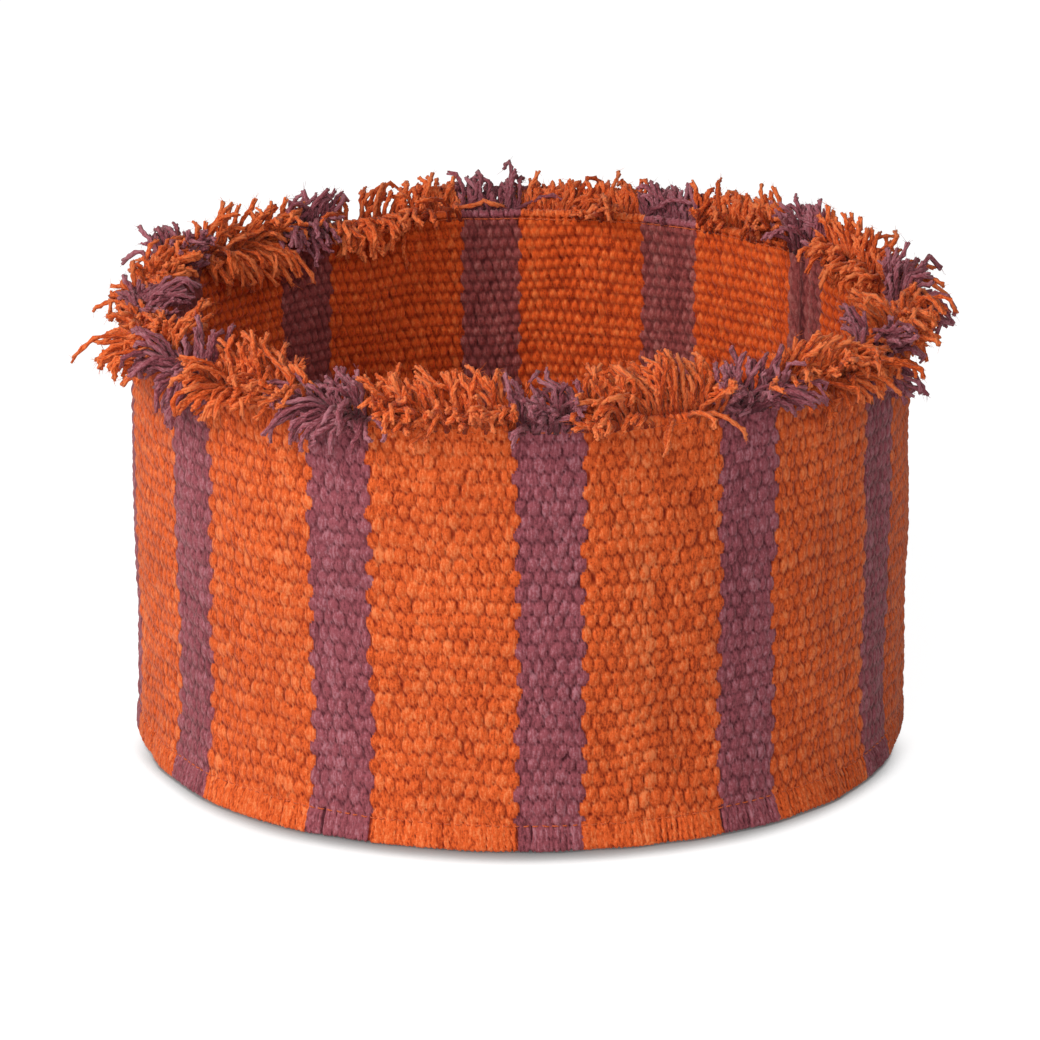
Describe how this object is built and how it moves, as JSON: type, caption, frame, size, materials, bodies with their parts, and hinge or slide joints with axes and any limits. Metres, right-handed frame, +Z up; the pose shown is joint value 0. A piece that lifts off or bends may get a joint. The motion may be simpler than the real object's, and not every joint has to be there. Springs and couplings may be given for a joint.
{
  "type": "round woven basket",
  "caption": "Round, open-topped basket of thick flat-woven cotton with upright stripes, a stitched hem at the floor and a cut fringe of yarn ends round the rim.",
  "frame": {"origin": "on the floor, under the middle of the round base", "axes": "+Z up along the basket's axis; -Y is the front that the picture shows"},
  "size_m": [0.2781, 0.2775, 0.1542],
  "materials": {
    "orange_cotton": "matte burnt-orange cotton yarn, warp-faced flat weave with elongated stitches",
    "plum_cotton": "matte dusty-plum cotton yarn, warp-faced flat weave with elongated stitches",
    "orange_thread": "fine orange sewing thread with a faint sheen",
    "plum_thread": "fine plum sewing thread"
  },
  "bodies": {
    "root": {"base_disc": "orange_cotton", "plum_stripe_01": "plum_cotton", "orange_stripe_01": "orange_cotton", "plum_fringe_01": "plum_cotton", "orange_fringe_01": "orange_cotton", "plum_stripe_02": "plum_cotton", "orange_stripe_02": "orange_cotton", "plum_fringe_02": "plum_cotton", "orange_fringe_02": "orange_cotton", "plum_stripe_03": "plum_cotton", "orange_stripe_03": "orange_cotton", "plum_fringe_03": "plum_cotton", "orange_fringe_03": "orange_cotton", "plum_stripe_04": "plum_cotton", "orange_stripe_04": "orange_cotton", "plum_fringe_04": "plum_cotton", "orange_fringe_04": "orange_cotton", "plum_stripe_05_cloth_end": "plum_cotton", "plum_stripe_05_cloth_start": "plum_cotton", "orange_stripe_05": "orange_cotton", "plum_fringe_05": "plum_cotton", "orange_fringe_05": "orange_cotton", "plum_stripe_06": "plum_cotton", "orange_stripe_06": "orange_cotton", "plum_fringe_06": "plum_cotton", "orange_fringe_06": "orange_cotton", "plum_stripe_07": "plum_cotton", "orange_stripe_07": "orange_cotton", "plum_fringe_07": "plum_cotton", "orange_fringe_07": "orange_cotton", "plum_stripe_08": "plum_cotton", "orange_stripe_08": "orange_cotton", "plum_fringe_08": "plum_cotton", "orange_fringe_08": "orange_cotton", "plum_stripe_09": "plum_cotton", "orange_stripe_09": "orange_cotton", "plum_fringe_09": "plum_cotton", "orange_fringe_09": "orange_cotton", "plum_stripe_10": "plum_cotton", "orange_stripe_10": "orange_cotton", "plum_fringe_10": "plum_cotton", "orange_fringe_10": "orange_cotton", "plum_stripe_11": "plum_cotton", "orange_stripe_11": "orange_cotton", "plum_fringe_11": "plum_cotton", "orange_fringe_11": "orange_cotton", "plum_stripe_12": "plum_cotton", "orange_stripe_12": "orange_cotton", "plum_fringe_12": "plum_cotton", "orange_fringe_12": "orange_cotton", "rim_needle_thread": "orange_thread", "rim_bobbin_thread": "orange_thread", "hem_needle_thread": "orange_thread", "hem_bobbin_thread": "orange_thread", "side_seam_thread": "plum_thread"}
  },
  "joints": []
}
